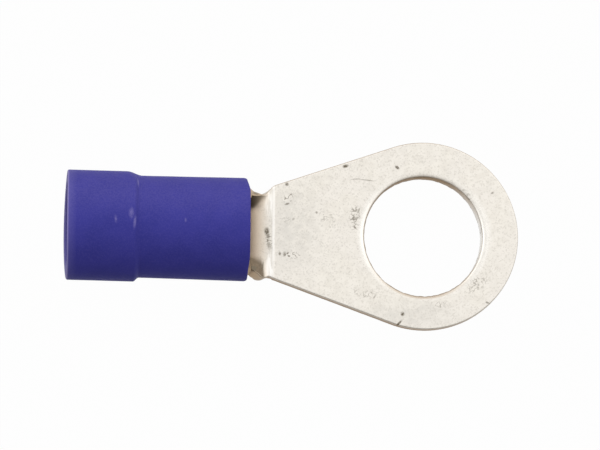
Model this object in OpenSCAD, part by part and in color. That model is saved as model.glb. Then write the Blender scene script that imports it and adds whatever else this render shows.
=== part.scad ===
// Insulated ring terminal for 1.5 to 2.5 mm2 wire and an M6 stud.
// Two pieces: a tin-plated copper stamping, flat at the ring and rolled into
// a barrel at the other end, and a moulded PVC sleeve pushed over the barrel.
// Millimetres. The origin is the centre of the stud hole, halfway through
// the sheet. +X runs from the barrel to the tip of the ring, and +Z is the
// side that carries the seam.

/* [Ring tongue] */
// Thickness of the copper sheet
sheet_t = 0.8; // [0.6:0.05:1]
// Diameter of the stud hole, M6 with clearance
stud_hole_d = 6.4; // [4.3:0.1:6.6]
// Outer diameter of the ring
ring_d = 10.1; // [9.5:0.1:12]
// Distance from the hole centre back to the bend behind the tongue
tongue_len = 8; // [7:0.1:12]
// Width of the tongue where it meets the bend
tongue_w = 5.15; // [4.8:0.05:5.6]
// Depth to which the punch rolled in the upper edge of the hole
punch_roll = 0.08; // [0.02:0.01:0.15]

/* [Barrel] */
// Outer diameter of the rolled barrel
barrel_d = 4; // [3.8:0.05:4.3]
// Length of the barrel, with the opening at its front
barrel_len = 5.2; // [4.2:0.1:7]
// Length of the V-shaped opening at the front of the barrel
mouth_len = 1.3; // [0.8:0.1:1.8]
// Length of the neck, from the bend to the half-round trough at the barrel
neck_len = 1.9; // [1.6:0.1:2.6]
// Width of the blank at its waist, just behind the bend
waist_w = 4.45; // [4.2:0.05:4.8]
// Height of the barrel's axis above the middle of the tongue
barrel_lift = 1; // [0.6:0.05:1.3]
// Gap between the butted edges of the seam
seam_gap = 0.1; // [0.05:0.01:0.25]
// Depth of the countersink that guides the strands into the barrel
strand_lead = 0.2; // [0.1:0.05:0.35]
// Number of grip grooves rolled inside the barrel
groove_count = 3; // [1:1:4]
// Width of one grip groove
groove_w = 0.3; // [0.2:0.05:0.5]
// Depth of one grip groove
groove_depth = 0.1; // [0.05:0.01:0.2]

/* [Sleeve] */
// Length of the sleeve
sleeve_len = 9.8; // [8.5:0.05:13]
// Length of neck left bare between the bend and the sleeve
bare_neck = 1.45; // [1:0.05:1.8]
// Outer diameter of the sleeve at its front end
sleeve_front_d = 5.5; // [5.4:0.02:6]
// Outer diameter of the sleeve just in front of the step
sleeve_waist_d = 5.42; // [5.3:0.02:6]
// Outer diameter of the large wire-entry end
entry_d = 5.86; // [5.7:0.02:6.8]
// Wall of the wire-entry end
entry_wall = 0.68; // [0.5:0.02:0.8]
// Length of the wire-entry end, up to the step
entry_len = 3.4; // [2.5:0.05:5]
// Length over which the step rises
step_len = 0.65; // [0.4:0.05:1]
// Rounding of the front edge
front_round = 0.22; // [0.1:0.02:0.35]
// Rounding of the wire-entry rim
rim_round = 0.08; // [0.02:0.01:0.2]
// Clearance between barrel and sleeve, on the radius
sleeve_fit = 0.02; // [0.01:0.01:0.08]

/* [Hidden] */
$fn = 96;

over = 1;                         // how far a cut runs past the surface it opens
tuck = 0.005;                     // how far the tongue's sides end inside the ring's edge

// Places along X
bend_x = -tongue_len;
barrel_front_x = bend_x - neck_len;
barrel_rear_x = barrel_front_x - barrel_len;
sleeve_front_x = bend_x - bare_neck;
sleeve_rear_x = sleeve_front_x - sleeve_len;
step_rear_x = sleeve_rear_x + entry_len;
step_front_x = step_rear_x + step_len;

// The sheet
half_t = sheet_t / 2;
ring_r = ring_d / 2;
// The tongue's sides leave the ring as tangents and reach the bend at half
// its width, which sets the angle between each side and the X axis
bend_reach = norm([tongue_len, tongue_w / 2]);
taper = asin(ring_r / bend_reach) - atan2(tongue_w / 2, tongue_len);

// The barrel
barrel_r = barrel_d / 2;
bore_r = barrel_r - sheet_t;
mid_r = barrel_r - half_t;
groove_pitch = (barrel_len - mouth_len - strand_lead) / (groove_count + 1);

// The neck: the sheet is flat at the bend, dips below the tongue, and rolls up
// into a half-round trough that runs on into the barrel
neck_rows = 18;
half_cols = 14;
cols = 2 * half_cols;
sink = 0.25;                      // how far each end reaches into its neighbour
inset = 0.015;                    // how far each end stays below its neighbour's skin
waist_at = 0.42;                  // how far along the neck the blank is narrowest
bend_speed = 0.8;                 // below 1, the floor turns down sharply at the bend
roll_speed = 1.3;                 // above 1, the edges roll up slowly at first
edge_curl = 2.4;                  // above 1, the first roll stays near the edges
swing_share = 0.4;                // share of the neck over which its thickness swings upright
trough_roll = 90 - asin(inset / mid_r);
trough_half_w = mid_r * trough_roll * PI / 180;

// The sleeve
entry_bore_r = entry_d / 2 - entry_wall;
step_points = 10;
lean_rows = 3;                    // rows that the leaning sheet may pass over

function smooth(s) = (1 - cos(180 * s)) / 2;
function mix(a, b, s) = a + (b - a) * s;
function unit(v) = v / norm(v);
function arc(c, r, from, to, n = 8) =
    [for (i = [0:n]) c + r * [cos(mix(from, to, i / n)), sin(mix(from, to, i / n))]];

// The neck as a function of s, 0 at the bend and 1 at the barrel.
// Half the width of the flat blank, with its waist
function blank_half(s) =
    s < waist_at
        ? mix(waist_w, tongue_w, pow(1 - s / waist_at, 2)) / 2
        : mix(waist_w / 2, trough_half_w, smooth((s - waist_at) / (1 - waist_at)));
// Angle through which the sheet's edges have turned
function edge_roll(s) = trough_roll * smooth(pow(s, roll_speed));
// Height of the sheet's middle line in the plane of symmetry
function floor_z(s) = (barrel_lift - mid_r) * smooth(pow(s, bend_speed));

// Middle line of half a section, walked out from the plane of symmetry
function half_row(s) =
    let (roll = edge_roll(s), curl = mix(edge_curl, 1, smooth(s)), step = blank_half(s) / half_cols)
    [for (i = 0, y = 0, z = floor_z(s); i <= half_cols;
          y = y + step * cos(roll * pow((i + 0.5) / half_cols, curl)),
          z = z + step * sin(roll * pow((i + 0.5) / half_cols, curl)),
          i = i + 1) [mix(bend_x, barrel_front_x, s), y, z]];
function row(s) =
    let (half = half_row(s))
    concat([for (i = [half_cols:-1:1]) [half[i][0], -half[i][1], half[i][2]]], half);

neck_grid = [for (i = [0:neck_rows]) row(i / neck_rows)];

// Direction square to the sheet at one point of the grid, towards the seam's side.
// Near the ends it swings into the row's own plane, to meet the tongue and the barrel
function sheet_normal(i, j) =
    let (end_share = min(i, neck_rows - i) / neck_rows,
         lean = smooth(min(1, end_share / swing_share)),
         run = neck_grid[min(neck_rows, i + 1)][j] - neck_grid[max(0, i - 1)][j],
         across = neck_grid[i][min(cols, j + 1)] - neck_grid[i][max(0, j - 1)])
    unit(cross(across, [run[0], run[1] * lean, run[2] * lean]));

// Outline of the sheet round one row: out along its lower skin and back along the upper
function outline(i) =
    let (thin = half_t - inset)
    concat(
        [for (j = [0:cols]) neck_grid[i][j] - thin * sheet_normal(i, j)],
        [for (j = [cols:-1:0]) neck_grid[i][j] + thin * sheet_normal(i, j)]);

// Greatest distance of the neck from the barrel's axis at one row
function reach(i) = max([for (p = outline(i)) norm([p[1], p[2] - barrel_lift])]);

// Solid through a list of outlines with equal numbers of points
module loft(outlines) {
    n = len(outlines[0]);
    last = len(outlines) - 1;
    points = [for (o = outlines) for (p = o) p];
    sides = [for (i = [0:last - 1]) for (j = [0:n - 1]) let (k = (j + 1) % n)
        [[i * n + j, i * n + k, (i + 1) * n + k], [i * n + j, (i + 1) * n + k, (i + 1) * n + j]]];
    half = n / 2;
    caps = [for (i = [0:half - 2])
        [[i, n - 2 - i, i + 1], [i, n - 1 - i, n - 2 - i]]];
    polyhedron(points, concat(
        [for (pair = sides) for (f = pair) f],
        [for (pair = caps) for (f = pair) f],
        [for (pair = caps) for (f = pair) [for (v = [2, 1, 0]) last * n + f[v]]]));
}

// Flat ring and tapering tongue, punched from sheet
module tongue() {
    side = (ring_r - tuck) * [sin(taper), cos(taper)];
    difference() {
        translate([0, 0, -half_t])
            linear_extrude(sheet_t) {
                circle(ring_r);
                polygon([[-side[0], -side[1]], [bend_x, -tongue_w / 2],
                         [bend_x, tongue_w / 2], [-side[0], side[1]]]);
            }
        cylinder(h = sheet_t + over, d = stud_hole_d, center = true);
        translate([0, 0, half_t - punch_roll])
            cylinder(h = punch_roll * 2, r1 = stud_hole_d / 2, r2 = stud_hole_d / 2 + punch_roll * 2);
    }
}

// Neck that turns the flat tongue into the round barrel, with its front open
module neck() {
    rows = [for (i = [0:neck_rows]) outline(i)];
    loft(concat(
        [[for (p = rows[0]) p + [sink, -sign(p[1]) * inset, 0]]],
        [[for (p = rows[0]) p - [0, sign(p[1]) * inset, 0]]],
        [for (i = [1:neck_rows]) rows[i]],
        [[for (p = rows[neck_rows]) p - [sink, 0, 0]]]));
}

// Rolled barrel: a V-shaped opening above the trough, then a butted seam on top
module barrel() {
    difference() {
        translate([barrel_rear_x, 0, barrel_lift])
            rotate([0, 90, 0])
                difference() {
                    cylinder(h = barrel_len, r = barrel_r);
                    translate([0, 0, -over])
                        cylinder(h = barrel_len + 2 * over, r = bore_r);
                    translate([0, 0, -strand_lead])
                        cylinder(h = strand_lead * 2, r1 = bore_r + strand_lead * 2, r2 = bore_r);
                    for (i = [1:groove_count])
                        translate([0, 0, strand_lead + i * groove_pitch - groove_w / 2])
                            cylinder(h = groove_w, r = bore_r + groove_depth);
                }
        translate([0, 0, barrel_lift])
            linear_extrude(barrel_r + over) {
                polygon([[barrel_front_x - mouth_len, 0], [barrel_front_x, -barrel_r],
                         [barrel_front_x + over, -barrel_r], [barrel_front_x + over, barrel_r],
                         [barrel_front_x, barrel_r]]);
                translate([barrel_rear_x - over, -seam_gap / 2])
                    square([barrel_len + over - mouth_len / 2, seam_gap]);
            }
    }
}

module terminal() {
    color([0.85, 0.83, 0.79])
        union() {
            tongue();
            neck();
            barrel();
        }
}

// Sleeve, turned about the barrel's axis: waist over the barrel, larger entry end
module insulating_sleeve() {
    front_c = [sleeve_front_d / 2 - front_round, sleeve_front_x - front_round];
    rim_c = [entry_d / 2 - rim_round, sleeve_rear_x + rim_round];
    // The soft sleeve is spread by the neck, so its front bore follows the neck's reach,
    // taken a few rows nearer to the bend because the sheet leans
    spread = [for (i = [neck_rows:-1:0])
        [reach(max(0, i - lean_rows)) + sleeve_fit, neck_grid[i][0][0]]];
    covered = [for (p = spread) if (p[1] < sleeve_front_x) p];
    front_bore_r = lookup(sleeve_front_x, [for (p = spread) [p[1], p[0]]]);
    profile = concat(
        [[front_bore_r, sleeve_front_x]],
        arc(front_c, front_round, 90, 0),
        [for (i = [0:step_points])
            [mix(sleeve_waist_d, entry_d, smooth(i / step_points)) / 2,
             mix(step_front_x, step_rear_x, i / step_points)]],
        arc(rim_c, rim_round, 0, -90),
        [[entry_bore_r, sleeve_rear_x],
         [entry_bore_r, step_rear_x],
         [barrel_r + sleeve_fit, step_front_x]],
        covered);
    color([0.24, 0.23, 0.55])
        translate([0, 0, barrel_lift])
            rotate([0, 90, 0])
                rotate_extrude()
                    polygon(profile);
}

terminal();
insulating_sleeve();
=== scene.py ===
# Insulated ring terminal: a tinned stamping with its vinyl sleeve, dressed for the studio.
# Lengths in the dictionaries are millimetres; mm turns them into metres.
import bpy
import math
from mathutils import Matrix, Vector, noise


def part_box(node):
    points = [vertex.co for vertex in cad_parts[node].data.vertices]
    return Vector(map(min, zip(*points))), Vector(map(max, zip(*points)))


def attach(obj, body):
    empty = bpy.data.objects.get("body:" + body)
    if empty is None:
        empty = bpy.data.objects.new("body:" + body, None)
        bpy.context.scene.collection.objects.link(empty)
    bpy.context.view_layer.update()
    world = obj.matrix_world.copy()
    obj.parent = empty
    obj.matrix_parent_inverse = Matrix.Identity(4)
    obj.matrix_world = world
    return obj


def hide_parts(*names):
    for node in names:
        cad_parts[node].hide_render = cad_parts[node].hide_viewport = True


mm = 0.001
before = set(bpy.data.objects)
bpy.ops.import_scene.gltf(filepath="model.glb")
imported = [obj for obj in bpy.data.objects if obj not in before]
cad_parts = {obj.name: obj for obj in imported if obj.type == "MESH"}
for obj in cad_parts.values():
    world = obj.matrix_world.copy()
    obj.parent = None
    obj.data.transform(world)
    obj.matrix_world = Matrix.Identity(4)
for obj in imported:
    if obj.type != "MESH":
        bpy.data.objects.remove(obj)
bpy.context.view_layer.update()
print("frame loaded:", ", ".join(sorted(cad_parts)))

stampLo, stampHi = [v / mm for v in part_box("terminal")]
sleeveLo, sleeveHi = [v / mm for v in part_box("insulating_sleeve")]
axisHeight = (sleeveLo.z + sleeveHi.z) / 2      # height of the barrel's axis


def mix(a, b, t):
    return a + (b - a) * t


def clamp(t):
    return min(1.0, max(0.0, t))


def ease(t):
    return (1 - math.cos(math.pi * clamp(t))) / 2


def makeObject(name, points, faces, slots, floats=None):
    mesh = bpy.data.meshes.new(name)
    mesh.from_pydata([tuple(Vector(p) * mm) for p in points], [], faces)
    for key, values in (floats or {}).items():
        layer = mesh.attributes.new(key, "FLOAT", "POINT")
        layer.data.foreach_set("value", values)
    mesh.validate()
    mesh.polygons.foreach_set("use_smooth", [True] * len(mesh.polygons))
    for slot in slots:
        mesh.materials.append(slot)
    obj = bpy.data.objects.new(name, mesh)
    bpy.context.scene.collection.objects.link(obj)
    return obj


class Shader:
    # one material or world, with short calls for the nodes it is made of
    def __init__(self, owner):
        owner.use_nodes = True
        self.tree = owner.node_tree
        self.tree.nodes.clear()

    def node(self, kind, sockets=None, **settings):
        made = self.tree.nodes.new("ShaderNode" + kind)
        for key, value in settings.items():
            setattr(made, key, value)
        for key, value in (sockets or {}).items():
            if isinstance(value, bpy.types.NodeSocket):
                self.tree.links.new(value, made.inputs[key])
            else:
                made.inputs[key].default_value = value
        return made

    def math(self, work, a, b=0.0, limit=False):
        return self.node("Math", {0: a, 1: b}, operation=work, use_clamp=limit).outputs[0]

    def times(self, a, b, limit=False):
        return self.math("MULTIPLY", a, b, limit)

    def span(self, value, lo, hi, to=(0.0, 1.0), soft=True):
        made = self.node("MapRange", {"Value": value, "From Min": lo, "From Max": hi,
                                      "To Min": to[0], "To Max": to[1]},
                         interpolation_type="SMOOTHSTEP" if soft else "LINEAR")
        return made.outputs["Result"]

    def tint(self, factor, a, b):
        return self.node("Mix", {0: factor, 6: a, 7: b}, data_type="RGBA").outputs[2]

    def grain(self, place, size, detail=2.0, rough=0.5):
        # noise whose cells are about size millimetres across
        return self.node("TexNoise", {"Vector": place, "Scale": 1 / size,
                                      "Detail": detail, "Roughness": rough}).outputs["Fac"]

    def pointValue(self, name):
        # a value that the mesh carries at each of its points
        return self.node("Attribute", attribute_name=name).outputs["Fac"]

    def place(self):
        # object coordinates in millimetres
        where = self.node("TexCoord").outputs["Object"]
        return self.node("VectorMath", {0: where, 3: 1 / mm}, operation="SCALE").outputs[0]

    def patch(self, place, x, y, length, width, turn, fade):
        # soft elongated patch on the upper side, 1 in its middle and 0 outside
        flat = self.node("Mapping", {"Vector": place, "Location": (x, y, 0),
                                     "Rotation": (0, 0, math.radians(turn)),
                                     "Scale": (length / 2, width / 2, 1000)},
                         vector_type="TEXTURE").outputs[0]
        far = self.node("VectorMath", {0: flat}, operation="LENGTH").outputs["Value"]
        return self.span(far, fade, 1.0, (1.0, 0.0))

    def patches(self, place, kind, fade, broken=None):
        # strength of every mark in a dictionary of marks
        spots = []
        for x, y, length, width, turn, depth in kind.values():
            spot = self.times(self.patch(place, x, y, length, width, turn, fade), depth)
            spots.append(self.times(spot, broken) if broken else spot)
        return spots

    def most(self, values):
        top = values[0]
        for value in values[1:]:
            top = self.math("MAXIMUM", top, value)
        return top


stamping = {
    "sheet": 0.8,            # thickness of the strip
    "holeDia": 6.4,
    "holeShift": (-0.045, -0.045),      # where the upper edge of the hole lies
    "holeAskew": (-0.035, -0.01),       # how far the punch came out beside where it went in
    "holeNarrow": 0.055,     # narrowing of the hole along the tongue
    "holeReach": 1.0,        # width of ring that takes these up
    "holeIn": 0.28,          # width of the dished edge of the stud hole
    "edgeIn": 0.06,          # width of the rounding that the die leaves along the outline
    "waviness": 0.004,       # slow waves left by the press
    "bendBack": 8.0,         # from the hole's centre back to the bend
    "tongueWidth": 5.07,     # at the bend
    "neckLen": 1.9,
    # half widths of the blank along the neck, (share of its length, width), one for each side
    "backEdge": ((0.126, 2.31), (0.21, 2.22), (0.30, 2.12),
                 (0.38, 2.06), (0.52, 2.20), (0.70, 2.36)),
    "frontEdge": ((0.10, 2.44), (0.20, 2.42), (0.28, 2.48), (0.36, 2.56),
                  (0.44, 2.53), (0.56, 2.38), (0.70, 2.22)),
    "ridge": 0.007,          # height of the line that the bending punch leaves
    "ridgeWidth": 0.05, "ridgeBack": 0.075,
    # shares of the neck: where the floor drops to the barrel, and how its gentle slope
    # grows before that, lasts into the drop and fades
    "sinkFrom": 0.72, "sinkTo": 1.24, "sinkSlope": 0.17,
    "slopeGrows": 0.9, "slopeLasts": 0.1, "slopeFades": 0.3,
    "foldFrom": 0.48, "foldTo": 0.80,   # where the wings fold, as shares of half the width
    "leanBack": 42, "leanFront": 19,    # degrees by which each wing stands up at the sleeve
    "wingFrom": 0.16, "roundFrom": 0.76,    # where the wings start to rise and to close round
    "barrelDia": 4.0,
    "vLen": 1.3,             # V-shaped opening at the barrel's front
    "seamGap": 0.1,
    "strandLead": 0.2,
    "grooves": 3, "grooveWidth": 0.3, "grooveDepth": 0.1,
    # cut edges, (share of their width, height in half sheets, bare metal), from the upper
    # skin down: rolled over by the punch, then burnished, then torn, with a low burr
    "edgeCut": ((0.45, 0.99, 0.0), (0.80, 0.95, 0.1), (1.0, 0.84, 0.5), (1.0, 0.45, 0.85),
                (0.94, 0.05, 0.90), (0.75, -0.35, 0.90), (0.45, -0.75, 0.88), (0.15, -0.97, 0.5)),
    "holeCut": ((0.25, 0.995, 0.0), (0.50, 0.975, 0.05), (0.70, 0.945, 0.2), (0.82, 0.90, 0.55),
                (0.92, 0.80, 0.85), (0.98, 0.64, 0.95), (1.0, 0.40, 0.94), (1.0, 0.0, 0.92),
                (0.98, -0.4, 0.92), (0.95, -0.75, 0.92), (0.88, -0.96, 0.85), (0.75, -1.0, 0.5)),
    "tornFrom": 0.65, "tornBy": 0.10,   # bare metal from which a cut edge is ragged, and how far
    "edgeBare": (0.28, 0.52), "holeBare": (0.0, 0.6),   # least bare metal, and how much darker the cut edges turn where they face +Y
    "paler": 0.92,          # how much paler the hole's wall is where it faces -X, on the hole's +X side
    "polishHighlightWidth": 0.12,     # width of the ring that the stud has polished, with a painted highlight at the hole's left and right
    # shares of the neck over which the tin is drawn thin and given painted shade towards the
    # sleeve, and is smeared over the cut edges
    "thinFrom": 0.04, "thinOver": 0.72, "smearFrom": 0.12, "smearOver": 0.22,
    "smearBack": 0.8, "smearFront": 0.4,
    # painted shade in the folds: shares of the neck between which it grows, shares of the width it
    # starts at
    "shadeBack": (0.30, 0.68, 0.46, 0.92), "shadeFront": (0.28, 0.40, 0.48, 0.58),
    "shadeLong": 0.10, "shadeWide": 0.26,     # how gradually it sets in along and across the neck
    # mesh: spokes round the ring and behind the hole, rings, and rows along X
    "arcParts": 132, "backParts": 34, "rings": 13, "branchRing": 6,
    "tongueRows": 26, "neckRows": 26, "vRows": 8,
}
halfSheet = stamping["sheet"] / 2
ringRadius = stampHi.y
bendX = -stamping["bendBack"]
barrelFront = bendX - stamping["neckLen"]
barrelRear = stampLo.x
midRadius = stamping["barrelDia"] / 2 - halfSheet
floorDrop = axisHeight - midRadius

bendReach = math.hypot(stamping["bendBack"], stamping["tongueWidth"] / 2)
taper = math.asin(ringRadius / bendReach)
taper -= math.atan2(stamping["tongueWidth"] / 2, stamping["bendBack"])
leaveAngle = math.pi / 2 + taper        # where the tongue's sides leave the ring


def dipSlope(s):
    # the floor dips gently in the open and sinks to the barrel's level under the sleeve
    lo, hi = stamping["sinkFrom"], stamping["sinkTo"]
    over = ease((s - lo - stamping["slopeLasts"]) / stamping["slopeFades"])
    gentle = stamping["sinkSlope"] * ease(s / stamping["slopeGrows"]) * (1 - over)
    steep = math.sin(math.pi * clamp((s - lo) / (hi - lo))) ** 2
    return gentle, steep


def sinkRun(parts=400):
    # heights of the floor from the bend to where it lies on the barrel's level
    reach = stamping["sinkTo"] * stamping["neckLen"]
    slopes = [dipSlope((i + 0.5) / parts * stamping["sinkTo"]) for i in range(parts)]
    gentle = sum(g for g, _ in slopes) * reach / parts
    steep = sum(s for _, s in slopes) * reach / parts
    share = (-floorDrop - gentle) / steep
    run = [0.0]
    for g, s in slopes:
        run.append(run[-1] - (g + s * share) * reach / parts)
    return run


sinkHeights = sinkRun()


def floorHeight(x):
    at = clamp((bendX - x) / stamping["neckLen"] / stamping["sinkTo"]) * (len(sinkHeights) - 1)
    i = min(int(at), len(sinkHeights) - 2)
    off = (x - bendX + stamping["ridgeBack"]) / stamping["ridgeWidth"]
    return mix(sinkHeights[i], sinkHeights[i + 1], at - i) + stamping["ridge"] * math.exp(-off ** 2)


def halfBlank(s, edge):
    # half the width of the blank along the neck, smooth between the given places
    stops = [(0, stamping["tongueWidth"] / 2), *edge, (1.0, math.pi / 2 * midRadius)]
    for (a, wa), (b, wb) in zip(stops, stops[1:]):
        if s <= b:
            t = (s - a) / (b - a)
            return mix(wa, wb, mix(t, ease(t), 0.5))
    return stops[-1][1]


def neckPoint(s, u):
    # middle line of a section: flat floor, a fold, and a wing; u runs from -1 to 1 across it
    side = 1 if u >= 0 else -1
    half = halfBlank(s, stamping["backEdge" if side > 0 else "frontEdge"]) - stamping["edgeIn"]
    lean = stamping["leanBack" if side > 0 else "leanFront"]
    wingFrom, roundFrom = stamping["wingFrom"], stamping["roundFrom"]
    under = ease((s - roundFrom) / (1 - roundFrom))     # share by which it is round already
    rise = lean * ease((s - wingFrom) / (roundFrom - wingFrom))
    roll = math.radians(mix(rise, 90, under))
    x = mix(bendX, barrelFront, s)
    y, z, parts = 0.0, floorHeight(x), 32
    lo, hi = stamping["foldFrom"], stamping["foldTo"]
    for i in range(parts):
        v = abs(u) * (i + 0.5) / parts
        angle = roll * mix(ease((v - lo) / (hi - lo)), v, under)
        y += half * abs(u) / parts * math.cos(angle)
        z += half * abs(u) / parts * math.sin(angle)
    return Vector((x, side * y, z))


def barrelPoint(x, u):
    along = clamp((barrelFront - x) / stamping["vLen"])
    opening = math.asin(clamp(1 - along)) if along < 1 else 0.0
    gap = stamping["seamGap"] / 2 / midRadius
    reach = min(math.pi - gap, math.pi - opening) - stamping["edgeIn"] / midRadius
    angle = u * reach
    lift = floorHeight(x) - floorDrop
    return Vector((x, midRadius * math.sin(angle), axisHeight + lift - midRadius * math.cos(angle)))


def ringStops():
    # radii of the rings between the hole's dished edge and the outline
    lo = stamping["holeDia"] / 2 + stamping["holeIn"]
    hi = ringRadius - stamping["edgeIn"]
    near = [0, 0.05, 0.15]      # distances of the close rings beside each edge
    count = stamping["rings"] - 2 * len(near) + 1
    inner = [mix(lo + near[-1], hi - near[-1], i / count) for i in range(1, count)]
    return [lo + n for n in near] + inner + [hi - n for n in reversed(near)]


def tongueShares(radii, columns):
    # places of the columns across the tongue, as shares of half its width
    last, branch = len(radii) - 1, stamping["branchRing"]
    half = stamping["tongueWidth"] / 2 - stamping["edgeIn"] / math.cos(taper)
    near = [half - (radii[last] - radii[r]) for r in range(last, branch, -1)]
    inner = near[-1]
    centre = columns - 2 * len(near)
    across = near + [mix(inner, -inner, (i + 1) / (centre + 1)) for i in range(centre)]
    across += [-v for v in reversed(near)]
    return half, [v / half for v in across]


def barrelStops():
    # (place along X, depth cut into the bore): the V first, then both sides of each grip groove
    vLen, vRows = stamping["vLen"], stamping["vRows"]
    stops = [(barrelFront - vLen * row / vRows, 0.0) for row in range(1, vRows + 1)]
    body = barrelFront - vLen - barrelRear
    pitch = (body - stamping["strandLead"]) / (stamping["grooves"] + 1)
    w = stamping["grooveWidth"] / 2
    wall, land = 0.04, 0.05     # length of a groove's wall, and of the strip kept flat beside it
    for n in range(stamping["grooves"], 0, -1):
        at = barrelRear + stamping["strandLead"] + n * pitch
        for dx, depth in ((w + land, 0), (w, 0), (w - wall, 1), (0, 1),
                          (wall - w, 1), (-w, 0), (-w - land, 0)):
            stops.append((at + dx, depth * stamping["grooveDepth"]))
    rear = barrelRear + stamping["edgeIn"]
    return stops + [(rear + dx, 0.0) for dx in (0.45, 0.24, 0.14, 0.0)]


def neckWearAndShade(s, u):
    # tin drawn thin with painted shade towards the sleeve, painted shade in the fold, and tin
    # smeared over the cut edge
    thin = ease((s - stamping["thinFrom"]) / stamping["thinOver"])
    smeared = ease((s - stamping["smearFrom"]) / stamping["smearOver"])
    lo, hi, inFrom, inTo = stamping["shadeBack" if u > 0 else "shadeFront"]
    start = mix(inTo, inFrom, ease((s - lo) / (hi - lo)))
    cornerShade = ease((s - lo) / stamping["shadeLong"]) * ease((abs(u) - start) / stamping["shadeWide"])
    if u > 0:
        cornerShade *= 0.64 + 0.30 * ease((s - 0.45) / 0.2)    # paler by the bend
    return thin, cornerShade, smeared


def buildStamping(slots):
    middle, key, quads = [], {}, []

    def add(name, p):
        if name not in key:
            key[name] = len(middle)
            middle.append(Vector(p))
        return key[name]

    radii = ringStops()
    last, branch = len(radii) - 1, stamping["branchRing"]
    arcParts, backParts = stamping["arcParts"], stamping["backParts"]

    # ring: spokes round the hole; behind the hole they stop at the branch ring
    spokes = [mix(-leaveAngle, leaveAngle, i / arcParts) for i in range(arcParts + 1)]
    spokes += [mix(leaveAngle, 2 * math.pi - leaveAngle, i / backParts)
               for i in range(1, backParts)]
    turns = len(spokes)
    shift = stamping["holeShift"]
    for i, angle in enumerate(spokes):
        for r in range((last if i <= arcParts else branch) + 1):
            near = ease(1 - (radii[r] - radii[0]) / stamping["holeReach"])
            narrow = stamping["holeNarrow"] * math.cos(angle)
            add(("ring", i, r), (radii[r] * math.cos(angle) + near * (shift[0] - narrow),
                                 radii[r] * math.sin(angle) + near * shift[1], 0))
    for i in range(turns):
        j = (i + 1) % turns
        for r in range(last if i < arcParts else branch):
            quads.append([key["ring", i, r], key["ring", i, r + 1],
                          key["ring", j, r + 1], key["ring", j, r]])

    # tongue: columns run from the ring's back to the bend
    front = [("ring", arcParts, r) for r in range(last, branch, -1)]
    front += [("ring", arcParts + i, branch) for i in range(backParts)]
    front += [("ring", 0, r) for r in range(branch, last + 1)]
    columns = len(front)
    half, share = tongueShares(radii, columns)
    grid = [[key[name] for name in front]]
    ends = [Vector((bendX, half * u, 0)) for u in share]
    close = (0.20, 0.145, 0.105, 0.07, 0.035, 0.0)     # distances of the rows next to the bend
    evenRows = stamping["tongueRows"]
    evenEnd = 0.28                                     # distance at which the even rows stop
    rows = evenRows + len(close)
    for row in range(1, rows + 1):
        line = []
        for c in range(columns):
            length = middle[grid[0][c]].x - bendX
            t = row / evenRows * (1 - evenEnd / length)
            if row > evenRows:
                t = 1 - close[row - evenRows - 1] / length
            p = middle[grid[0][c]].lerp(ends[c], t)
            p.z = floorHeight(p.x)
            line.append(add(("tongue", row, c), p))
        grid.append(line)

    # neck and barrel
    neckRows = stamping["neckRows"]
    stops = [d / stamping["neckLen"] for d in reversed(close[-4:-1])]
    stops += [mix(stops[-1], 1, (i + 1) / neckRows) for i in range(neckRows)]
    for row, s in enumerate(stops, 1):
        grid.append([add(("neck", row, c), neckPoint(s, share[c])) for c in range(columns)])
    groove, wearAndShade = {}, {}
    for row, (x, depth) in enumerate(barrelStops()):
        grid.append([add(("barrel", row, c), barrelPoint(x, share[c])) for c in range(columns)])
        for v in grid[-1]:
            groove[v] = depth
    for line in grid[rows:]:
        for c, v in enumerate(line):
            wearAndShade[v] = neckWearAndShade((bendX - middle[v].x) / stamping["neckLen"], share[c])
    for a, b in zip(grid, grid[1:]):
        for c in range(columns - 1):
            quads.append([a[c], b[c], b[c + 1], a[c + 1]])

    # slow waves, fading out before the barrel
    for p in middle:
        keep = ease((p.x - barrelFront) / 1.2)
        p.z += keep * stamping["waviness"] * noise.noise(Vector((p.x * 0.5, p.y * 0.5, 1.7)))

    def askew(v, h):
        # the punched wall runs a little aslant; h is 1 on the upper skin and -1 on the lower
        p = middle[v]
        far = math.hypot(p.x, p.y) - stamping["holeDia"] / 2
        near = ease(1 - far / stamping["holeReach"])
        return Vector((*stamping["holeAskew"], 0)) * near * (1 - h) / 2

    # directions square to the sheet, towards the seam's side
    square = [Vector((0, 0, 0)) for _ in middle]
    for quad in quads:
        a, b, c, d = [middle[v] for v in quad]
        up = (c - a).cross(d - b)
        for v in quad:
            square[v] += up.normalized()
    square = [n.normalized() for n in square]
    if square[0].z < 0:
        square = [-n for n in square]
        quads = [q[::-1] for q in quads]

    points, tops, bottoms = [], {}, {}
    layers = {"shear": [], "drawnThinShade": [], "cornerShadeMask": [], "polishHighlight": []}

    def vertex(p, bare, thin=0.0, cornerShade=0.0):
        far = math.hypot(p.x, p.y)
        # polished ring round the hole; its colour is a painted highlight at the hole's left and
        # right
        polishHighlight = ease(1 - (far - radii[0]) / stamping["polishHighlightWidth"]) * (p.x / far) ** 2
        for values, value in zip(layers.values(), (bare, thin, cornerShade, polishHighlight)):
            values.append(value)
        points.append(p)
        return len(points) - 1

    for v, p in enumerate(middle):
        thin, cornerShade, _ = wearAndShade.get(v, (0.0, 0.0, 0.0))
        tops[v] = vertex(p + square[v] * (halfSheet - groove.get(v, 0)), 0.0, thin, cornerShade)
        bottoms[v] = vertex(p - square[v] * halfSheet + askew(v, -1), 0.0, thin)
    faces = [[tops[v] for v in q] for q in quads]
    faces += [[bottoms[v] for v in reversed(q)] for q in quads]

    def rim(loop, width, profile, bareness, paleFacing=None):
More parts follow.
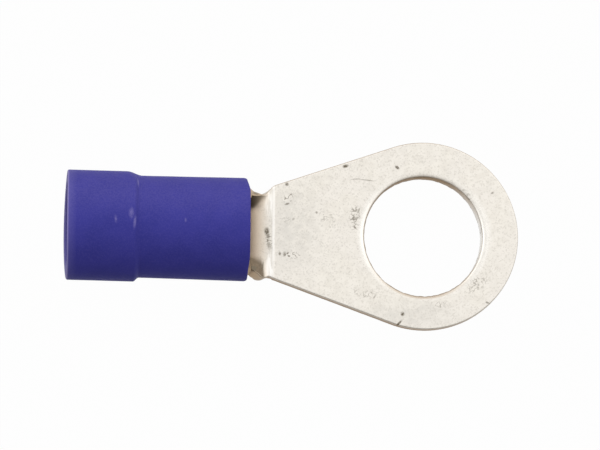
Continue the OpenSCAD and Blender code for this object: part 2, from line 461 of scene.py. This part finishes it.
        # closes the sheet along a cut edge; the last argument is the way the paler wall faces
        strips = []
        count = len(loop)
        least, more = bareness
        for i, v in enumerate(loop):
            along = (middle[loop[(i + 1) % count]] - middle[loop[i - 1]]).normalized()
            out = along.cross(square[v]).normalized()
            thin, rimShade, smeared = wearAndShade.get(v, (0.0, 0.0, 0.0))
            smeared *= stamping["smearBack" if middle[v].y > 0 else "smearFront"]
            paler = stamping["paler"] * clamp(out.dot(paleFacing)) ** 3 if paleFacing else 0.0
            strip = [tops[v]]
            for o, h, bare in profile:
                ragged = stamping["tornBy"] if bare > stamping["tornFrom"] else 0.0
                torn = ragged * noise.noise(middle[v] * 4.0 + Vector((0, 0, h * 2)))
                late = (least + more * clamp(out.y) ** 2) * ease((o - 0.2) / 0.5)
                bare = max(bare, late) * (1 - paler) * (1 - smeared)
                p = middle[v] + out * (width * (o + torn)) + square[v] * (h * halfSheet)
                # the cut edge takes a little of the painted shade in the fold
                strip.append(vertex(p + askew(v, h), bare, thin, rimShade * (0.3 if h > 0.5 else 0.15)))
            strip.append(bottoms[v])
            strips.append(strip)
        for i in range(count):
            a, b = strips[i], strips[(i + 1) % count]
            for k in range(len(a) - 1):
                faces.append([a[k], a[k + 1], b[k + 1], b[k]])

    holeLoop = [key["ring", i, 0] for i in range(turns)][::-1]
    rim(holeLoop, stamping["holeIn"], stamping["holeCut"], stamping["holeBare"], Vector((-1, 0, 0)))
    edgeLoop = [key["ring", i, last] for i in range(arcParts)]
    edgeLoop += [line[0] for line in grid] + grid[-1][1:-1]
    edgeLoop += [line[-1] for line in reversed(grid[1:])]
    rim(edgeLoop, stamping["edgeIn"], stamping["edgeCut"], stamping["edgeBare"])
    return makeObject("stampedTerminal", points, faces, slots, layers)


# marks on the upper side, with painted shade in the neck's folds: x, y, length, width, turn in
# degrees, depth
nicks = {
    "edgeNick": (-4.24, 3.66, 0.46, 0.25, 16, 0.85),
    "cornerNick": (-7.38, 2.60, 0.29, 0.27, 40, 0.75),
    "ringNick": (-1.47, 3.66, 0.36, 0.22, -38, 0.95),
    "lowDot": (-1.13, -4.25, 0.30, 0.34, 0, 0.75),
    "lowScratch": (-1.33, -4.78, 0.76, 0.17, 48, 0.8),
    "longScratch": (-3.72, 2.97, 0.76, 0.10, 8, 0.38),
    "longScratchEnd": (-3.10, 2.93, 1.25, 0.10, -5, 0.42),
    "holeScratch": (-3.52, 1.27, 0.45, 0.16, 65, 0.5),
    "holeRub": (-3.66, 0.86, 0.55, 0.22, 12, 0.40),
    "holeDot": (-3.72, 0.36, 0.34, 0.15, -45, 0.6),
    "clusterEnd": (-7.36, 1.53, 0.38, 0.16, 18, 0.6),
    "smallRub": (-7.02, 0.72, 0.25, 0.18, 40, 0.35),
    "rowStart": (-7.72, -1.17, 0.20, 0.27, 0, 0.62),
    "rowMiddle": (-7.47, -1.15, 0.30, 0.32, -20, 0.45),
    "plainDot": (-5.77, 1.11, 0.17, 0.20, 0, 0.55),
    "lowStreak": (-2.63, -3.35, 0.45, 0.14, 55, 0.42),
    "sideDot": (3.66, 2.42, 0.27, 0.15, 30, 0.6),
    "rimNick": (3.42, -3.53, 0.32, 0.17, -25, 0.6),
    "bendRub": (-8.43, 0.02, 0.36, 0.58, 0, 0.80),
    "bendRubLow": (-8.37, -0.22, 0.26, 0.46, 12, 0.60),
    "bendRubEnd": (-8.30, -0.72, 0.32, 0.62, 12, 0.42),
    # painted shade: a dark line where the ramp meets the wing, and the dark folds beside the sleeve
    "foldShadeLine": (-8.62, -1.86, 0.09, 0.72, -4, 0.8),
    "foldShade": (-9.12, -2.02, 0.46, 0.42, 0, 0.9),
    "foldShadeBack": (-9.05, 2.02, 0.46, 0.34, -25, 0.55),
}
# the same for places where fine curly lines show
scribbles = {
    "besideHole": (-3.72, 0.85, 0.80, 1.8, 0, 0.75),
    "corner": (-7.28, 1.86, 0.60, 1.15, -18, 0.85),
    "row": (-7.15, -1.22, 1.45, 0.50, -6, 0.85),
    "bend": (-8.31, -0.50, 0.46, 1.35, 10, 0.9),
    "lowRing": (2.85, -2.55, 1.0, 1.8, -48, 0.50),
    "lowTongue": (-3.20, -3.10, 1.7, 0.8, -8, 0.52),
    "belowHole": (0.80, -3.72, 1.6, 0.55, 5, 0.42),
    "aboveHole": (2.25, 2.25, 1.4, 0.7, -50, 0.45),
    "middle": (-5.20, 0.80, 1.5, 1.0, -50, 0.36),
    "cornerLow": (-7.40, 0.60, 0.7, 0.6, 0, 0.40),
}
tinColours = {
    "dark": (0.690, 0.654, 0.592, 1), "light": (0.739, 0.703, 0.641, 1),
    "cloud": (0.715, 0.680, 0.636, 1),
    "dull": (0.60, 0.575, 0.53, 1),
    "pit": (0.52, 0.49, 0.44, 1),
    "polishHighlightTint": (0.86, 0.84, 0.80, 1),      # painted highlight at the hole's left and right, on its polished ring
    "bendHighlight": (0.90, 0.88, 0.845, 1),    # painted highlight along the bend and its streaks
    "thin": (0.60, 0.44, 0.28, 1),          # tin drawn thin, and painted shade, darker and warmer towards the sleeve
    # painted shade for the neck's folds, and the colour of the marks
    "cornerShade": (0.11, 0.083, 0.056, 1), "mark": (0.13, 0.11, 0.08, 1),
    "bare": (0.21, 0.128, 0.058, 1), "bareLight": (0.33, 0.212, 0.105, 1),  # cut copper
}


def tinFinish():
    mat = bpy.data.materials.new("tinnedCopper")
    look = Shader(mat)
    paint = tinColours
    place = look.place()
    across = look.node("SeparateXYZ", {0: place}).outputs
    fine = look.grain(place, 0.09, 3.0, 0.6)
    mottle = look.grain(place, 0.45, 2.0, 0.55)
    cloud = look.grain(place, 1.6, 1.0)
    shear, polishHighlight = look.pointValue("shear"), look.pointValue("polishHighlight")

    tin = look.tint(look.span(mottle, 0.35, 0.65), paint["dark"], paint["light"])
    tin = look.tint(look.times(look.span(cloud, 0.38, 0.62), 0.30), tin, paint["cloud"])
    dull = look.most([look.patch(place, -7.1, 0.4, 4.2, 6.5, 0, 0.1),
                      look.patch(place, -0.6, -4.3, 7.0, 2.2, 0, 0.2)])
    tin = look.tint(look.times(dull, look.span(mottle, 0.3, 0.7, (0.75, 0.25))), tin, paint["dull"])
    tin = look.tint(look.times(look.span(fine, 0.50, 0.66), 0.58), tin, paint["pit"])
    # painted highlight at the left and right of the hole
    tin = look.tint(look.times(polishHighlight, 0.45), tin, paint["polishHighlightTint"])

    # painted highlight along the bend line, and painted bright streaks beside it
    off = look.math("ABSOLUTE", look.math("ADD", across["X"], stamping["ridgeBack"] - bendX))
    line = look.times(look.span(off, 0.03, 0.09, (1.0, 0.0)),
                      look.span(across["Y"], -2.2, -1.1, (0.2, 0.6)))
    pulled = look.node("Mapping", {"Vector": place, "Rotation": (0, 0, math.radians(-14)),
                                   "Scale": (7, 1.1, 1)}).outputs[0]
    streak = look.span(look.grain(pulled, 1.0, 2.0), 0.44, 0.56)
    ends = look.most([look.patch(place, bendX - 0.30, 1.55, 0.80, 2.0, 0, 0.0),
                      look.patch(place, bendX - 0.24, -1.85, 0.62, 1.7, 0, 0.45)])
    bright = look.most([line, look.times(ends, look.span(streak, 0, 1, (0.15, 1.0)))])
    tin = look.tint(look.times(bright, 0.9), tin, paint["bendHighlight"])

    # tin drawn thin over the neck with painted shade towards the sleeve, and painted shade in its
    # folds
    tin = look.tint(look.times(look.pointValue("drawnThinShade"), 0.85), tin, paint["thin"])
    cornerShading = look.times(look.pointValue("cornerShadeMask"), look.span(fine, 0.2, 0.7, (1.0, 0.88)))
    tin = look.tint(cornerShading, tin, paint["cornerShade"])

    # crumbled nicks and curly scribbles
    crumbled = look.span(look.grain(place, 0.06, 2.0), 0.30, 0.60, (0.65, 1.35))
    curl = look.math("ABSOLUTE", look.math("SUBTRACT", look.grain(place, 0.24, 1.5), 0.5))
    curl = look.times(look.span(curl, 0.012, 0.055, (1.0, 0.0)), look.span(mottle, 0.38, 0.50))
    marks = look.patches(place, nicks, 0.25, crumbled) + look.patches(place, scribbles, 0.35, curl)
    upper = look.span(across["Z"], -0.35, -0.2)
    tin = look.tint(look.times(look.most(marks), upper, limit=True), tin, paint["mark"])

    colour = look.tint(shear, tin, look.tint(fine, paint["bare"], paint["bareLight"]))
    rough = look.span(mottle, 0.3, 0.7, (0.34, 0.42))
    rough = look.math("SUBTRACT", rough, look.times(polishHighlight, 0.16))
    rough = look.math("ADD", rough, look.times(shear, 0.2))
    bump = look.node("Bump", {"Strength": 0.35, "Distance": 0.005 * mm, "Height": fine})
    shader = look.node("BsdfPrincipled", {"Base Color": colour, "Metallic": 1.0,
                                          "Roughness": rough, "Normal": bump.outputs[0]})
    look.node("OutputMaterial", {"Surface": shader.outputs[0]})
    return mat


terminal = buildStamping([tinFinish()])
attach(terminal, "root")
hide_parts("terminal")
print("stamping:", len(terminal.data.polygons), "faces")


sleeve = {
    "frontDia": 5.50, "waistDia": 5.43, "entryDia": 5.86, "entryWall": 0.68,
    "entryLen": 3.4, "stepLen": 0.65,
    "frontRound": 0.22, "rimRound": 0.1,
    "fit": 0.02,             # clearance round the stamping
    # the ends were cut a little off square: shift at the underside, and further shift
    # when the cut has climbed to cutHeight
    "frontCut": (0.065, -0.27), "rearCut": (0.15, -0.31), "cutHeight": 6,
    "frontTuck": 0.14,       # by which the sides of the front edge draw back
    "tuckFrom": 1.7, "tuckOver": 0.9,   # how far from the middle that starts, and its reach
    "tuckFront": 0.6,        # share of it on the side towards -Y
    "sag": 0.025,            # the barrel end stands this far towards -Y
    "softness": 0.008,       # depth of the slow dents in the surface
    # the shoulder is crisp all round but for one soft side: its length and place on each,
    # and where the soft side is, in degrees up from +Y, and how far round it spreads
    "crispStep": (0.32, 0.03), "softStep": (0.84, -0.10),
    "softAt": 8, "softSpread": 0.20,
    "rimHighlightWidth": 0.11, "rimHighlightInside": 0.55,    # painted highlight along the wire entry's rim, and how much of it in the bore
    "aroundParts": 192,
}


def neckReach():
    # farthest distance of the stamping from the barrel's axis, for stops along X
    found, stop = {}, 0.1
    for v in terminal.data.vertices:
        p = v.co / mm
        if p.x < sleeveHi.x + 6 * stop:
            step = round(p.x / stop)
            far = math.hypot(p.y, p.z - axisHeight)
            for near in (step - 1, step, step + 1):
                found[near] = max(found.get(near, 0), far)
    return lambda x: found.get(round(x / stop), stamping["barrelDia"] / 2)


def sleeveProfile():
    # (distance along X, radius) from the front bore round the outside and back along the bore;
    # the outside of the shoulder has no radius here, because it differs around the sleeve
    reach = neckReach()
    front, rear = sleeveHi.x, sleeveLo.x
    stepRear = rear + sleeve["entryLen"]
    stepFront = stepRear + sleeve["stepLen"]
    frontR, waistR, entryR = sleeve["frontDia"] / 2, sleeve["waistDia"] / 2, sleeve["entryDia"] / 2
    bend, rimR, fit = sleeve["frontRound"], sleeve["rimRound"], sleeve["fit"]
    boreFront = min(frontR - 0.10, reach(front) + fit)      # leaves at least this much wall
    curveR = max(frontR - bend, boreFront + 0.04)
    line = [(front - 0.05, boreFront), (front, boreFront + 0.03)]
    for i in range(9):
        a = math.pi / 2 * i / 8
        line.append((front - bend + bend * math.cos(a), curveR + (frontR - curveR) * math.sin(a)))
    shoulderFrom, shoulderTo = stepFront + 0.4, stepRear - 0.8
    for i in range(1, 13):
        line.append((mix(front - bend, shoulderFrom, i / 13), mix(frontR, waistR, i / 13)))
    for i in range(37):
        line.append((mix(shoulderFrom, shoulderTo, i / 36), None))
    for i in range(1, 6):
        line.append((mix(shoulderTo, rear + rimR, i / 6), entryR))
    for i in range(6):
        a = math.pi / 2 * i / 5
        line.append((rear + rimR - rimR * math.sin(a), entryR - rimR + rimR * math.cos(a)))
    boreR = entryR - sleeve["entryWall"]
    line += [(rear, mix(entryR - rimR, boreR + 0.06, 0.5)), (rear, boreR + 0.06),
             (rear + 0.02, boreR + 0.02), (rear + 0.08, boreR)]
    for i in range(1, 6):
        line.append((mix(rear + 0.08, stepRear - 0.1, i / 5), boreR))
    coverR = stamping["barrelDia"] / 2 + fit
    for i in range(7):
        line.append((mix(stepRear, stepFront, i / 6), mix(boreR, coverR, ease(i / 6))))
    openFrom = barrelFront - 0.6            # from here on the stamping may spread the bore
    for i in range(1, 7):
        line.append((mix(stepFront, openFrom, i / 6), coverR))
    for i in range(1, 9):
        x = mix(openFrom, front - 0.05, i / 9)
        line.append((x, max(coverR, reach(x) + fit)))
    return line


def shoulderRadius(x, side):
    # side is 1 where the shoulder is soft and 0 where it is crisp
    middle = sleeveLo.x + sleeve["entryLen"] + sleeve["stepLen"] / 2
    length = mix(sleeve["crispStep"][0], sleeve["softStep"][0], side)
    middle += mix(sleeve["crispStep"][1], sleeve["softStep"][1], side)
    t = (middle + length / 2 - x) / length
    return mix(sleeve["waistDia"], sleeve["entryDia"], ease(t)) / 2


def endShift(y, z, share):
    # shift along X at one point of a section; share is 0 at the front and 1 at the wire entry
    up = (z + sleeve["entryDia"] / 2) / sleeve["cutHeight"]
    shift = mix(sleeve["frontCut"][0], sleeve["rearCut"][0], share)
    shift += mix(sleeve["frontCut"][1], sleeve["rearCut"][1], share) * up * up
    tuck = ease((abs(y) - sleeve["tuckFrom"]) / sleeve["tuckOver"])
    tuck = sleeve["frontTuck"] * (1 - share) ** 6 * tuck
    return shift - tuck * (1.0 if y > 0 else sleeve["tuckFront"])


def buildSleeve(slots):
    line = sleeveProfile()
    parts, spread = sleeve["aroundParts"], sleeve["softSpread"]
    points, rimHighlight, faces = [], [], []
    for x, radius in line:
        # painted highlight along the wire entry's rim
        rim = ease(1 - (x - sleeveLo.x - 0.02) / sleeve["rimHighlightWidth"])
        share = clamp((sleeveHi.x - x) / (sleeveHi.x - sleeveLo.x))
        for i in range(parts):
            a = 2 * math.pi * i / parts
            side = ease((math.cos(a - math.radians(sleeve["softAt"])) - (1 - spread)) / spread)
            r = shoulderRadius(x, side) if radius is None else radius
            y, z = r * math.cos(a), r * math.sin(a)
            # the dents only go inwards, so that the sleeve still lies on the floor
            dent = sleeve["softness"] * abs(noise.noise(Vector((x * 0.4, y * 0.5, z * 0.5))))
            k = 1 - dent / r
            points.append((x + endShift(y, z, share),
                           y * k - sleeve["sag"] * (1 - share), axisHeight + z * k))
            outside = r > sleeve["entryDia"] / 2 - 0.12
            rimHighlight.append(rim * (1.0 if outside else sleeve["rimHighlightInside"]))
    for row in range(len(line)):
        after = (row + 1) % len(line)
        for i in range(parts):
            j = (i + 1) % parts
            faces.append([row * parts + i, row * parts + j, after * parts + j, after * parts + i])
    return makeObject("vinylSleeve", points, faces, slots, {"rimHighlight": rimHighlight})


# pale rubs on the upper side, and painted highlights along the shoulder: x, y, length, width, turn
# in degrees, strength
rubsAndHighlights = {
    "shoulderRub": (-15.98, 0.22, 0.40, 0.85, 0, 0.36),
    # this and the next are painted highlights on the shoulder
    "shoulderHighlight": (-15.79, -0.26, 0.24, 0.95, -6, 0.42),
    "shoulderGlint": (-15.55, 2.04, 0.14, 0.75, 0, 0.45),
    "entryRub": (-16.81, -0.13, 0.22, 0.62, 8, 0.32),
    "waistRub": (-13.08, -0.06, 0.16, 0.34, 0, 0.3),
}
vinylColours = {
    "dark": (0.0355, 0.0355, 0.234, 1), "light": (0.0405, 0.0395, 0.256, 1),
    "speck": (0.085, 0.076, 0.33, 1),
    # painted sheen towards +Y
    "topSheenTint": (0.078, 0.069, 0.275, 1),
    "paleRubHighlight": (0.31, 0.27, 0.53, 1),
    "sheen": (0.75, 0.70, 1, 1),
}


def vinylFinish():
    mat = bpy.data.materials.new("blueVinyl")
    look = Shader(mat)
    paint = vinylColours
    place = look.place()
    across = look.node("SeparateXYZ", {0: place}).outputs
    fine = look.grain(place, 0.085, 3.0, 0.65)
    cloud = look.grain(place, 1.1, 2.0)
    colour = look.tint(look.span(cloud, 0.3, 0.7), paint["dark"], paint["light"])
    colour = look.tint(look.times(look.span(fine, 0.42, 0.66), 0.22), colour, paint["speck"])

    # painted sheen: paler and greyer towards +Y, where the light falls
    topSheen = look.times(look.span(across["Y"], -0.5, 1.6, (0.0, 0.62)),
                       look.span(fine, 0.36, 0.62, (0.35, 1.0)))
    colour = look.tint(topSheen, colour, paint["topSheenTint"])

    # pale rubs, and painted highlights on the shoulder
    paler = look.times(look.most(look.patches(place, rubsAndHighlights, 0.1)),
                        look.span(fine, 0.3, 0.6, (0.45, 1.2)))
    upper = look.span(across["Z"], axisHeight, axisHeight + 0.5)
    # painted highlight on the entry's rim, pale rubs and painted shoulder highlights
    paleRubHighlight = look.most([look.pointValue("rimHighlight"), look.times(paler, upper)])
    colour = look.tint(look.times(paleRubHighlight, 0.75), colour, paint["paleRubHighlight"])
    rough = look.span(fine, 0.3, 0.7, (0.52, 0.62))
    bump = look.node("Bump", {"Strength": 0.5, "Distance": 0.018 * mm, "Height": fine})
    shader = look.node("BsdfPrincipled", {"Base Color": colour, "Roughness": rough,
                                          "Specular IOR Level": 0.05, "Sheen Weight": 0.06,
                                          "Sheen Roughness": 0.35, "Sheen Tint": paint["sheen"],
                                          "Normal": bump.outputs[0]})
    look.node("OutputMaterial", {"Surface": shader.outputs[0]})
    return mat


vinylSleeve = buildSleeve([vinylFinish()])
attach(vinylSleeve, "root")
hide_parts("insulating_sleeve")
print("sleeve:", len(vinylSleeve.data.polygons), "faces")


studio = {
    "floorSize": 4000,
    "floorWhite": 0.22,      # what the floor throws back at the object
    "floorShow": 0.985,      # how white it shows
    # strength of the sky overhead, low down, towards -Y and towards +Y, and what the sides add
    "skyTop": 0.98, "skyEdge": 0.50, "skyFront": 0.22, "skyBack": 1.70, "skySides": 0.35,
    # soft boxes: place beside the middle of the part, size, watts
    "boxes": {
        "backBox": ((0, 190, 190), (260, 150), 0.05),
        "leftBox": ((-120, 20, 200), (90, 220), 0.018),
        "rightBox": ((120, 20, 200), (90, 220), 0.018),
    },
}


def floorFinish():
    mat = bpy.data.materials.new("studioFloor")
    look = Shader(mat)
    path = look.node("LightPath")
    seen = look.most([path.outputs["Is Camera Ray"], path.outputs["Is Glossy Ray"],
                      path.outputs["Is Transmission Ray"]])
    seen = look.times(seen, studio["floorShow"])
    white = studio["floorWhite"]
    dull = look.node("BsdfDiffuse", {"Color": (white, white, white, 1)})
    glow = look.node("Emission", {"Color": (1, 1, 1, 1), "Strength": 1.0})
    both = look.node("MixShader", {0: seen, 1: dull.outputs[0], 2: glow.outputs[0]})
    look.node("OutputMaterial", {"Surface": both.outputs[0]})
    return mat


def layFloor():
    half = studio["floorSize"] / 2
    z = min(stampLo.z, sleeveLo.z)
    corners = [(-half, -half, z), (half, -half, z), (half, half, z), (-half, half, z)]
    floor = makeObject("studioFloor", corners, [[0, 1, 2, 3]], [floorFinish()])


def hangSky():
    world = bpy.data.worlds.new("studioSky")
    bpy.context.scene.world = world
    look = Shader(world)
    way = look.node("SeparateXYZ", {0: look.node("TexCoord").outputs["Generated"]}).outputs
    up = look.span(way["Z"], -0.1, 0.9, (studio["skyEdge"], studio["skyTop"]), soft=False)
    back = look.span(way["Y"], -1.0, 1.0, (studio["skyFront"], studio["skyBack"]), soft=False)
    aside = look.span(look.math("ABSOLUTE", way["X"]), 0.15, 0.45, (1.0, 1.0 + studio["skySides"]))
    level = look.times(look.times(up, back), aside)
    sky = look.node("Background", {"Color": (1, 1, 1, 1), "Strength": level})
    look.node("OutputWorld", {"Surface": sky.outputs[0]})


def hangBoxes():
    aim = Vector(((sleeveLo.x + stampHi.x) / 2, 0, 0))
    for name, (place, size, power) in studio["boxes"].items():
        data = bpy.data.lights.new(name, "AREA")
        data.shape = "RECTANGLE"
        data.size, data.size_y = size[0] * mm, size[1] * mm
        data.energy = power
        lamp = bpy.data.objects.new(name, data)
        lamp.location = (aim + Vector(place)) * mm
        lamp.rotation_euler = (-Vector(place)).to_track_quat("-Z", "Y").to_euler()
        bpy.context.scene.collection.objects.link(lamp)


view = {
    # straight above, leaning some degrees towards the wire entry and towards -Y
    "leanX": 5.857, "leanY": 9.901, "roll": 0.493,
    "aim": (-6.656, 0.409, 0.4), "away": 600,
    "wide": 31.9574,         # how much the picture takes in from side to side, at the aim
}


def setCamera():
    back = Vector((-math.tan(math.radians(view["leanX"])),
                   -math.tan(math.radians(view["leanY"])), 1)).normalized()
    right = Vector((0, 1, 0)).cross(back).normalized()
    up = back.cross(right)
    roll = math.radians(view["roll"])
    across = right * math.cos(roll) + up * math.sin(roll)
    above = up * math.cos(roll) - right * math.sin(roll)
    data = bpy.data.cameras.new("studioCamera")
    data.lens = data.sensor_width * view["away"] / view["wide"]
    data.clip_start, data.clip_end = 0.01, 10
    camera = bpy.data.objects.new("studioCamera", data)
    turn = Matrix((across, above, back)).transposed().to_4x4()
    place = (Vector(view["aim"]) + back * view["away"]) * mm
    camera.matrix_world = Matrix.Translation(place) @ turn
    bpy.context.scene.collection.objects.link(camera)
    bpy.context.scene.camera = camera


setCamera()
layFloor()
hangSky()
hangBoxes()
bpy.context.scene.view_settings.view_transform = "Standard"
print("studio set")
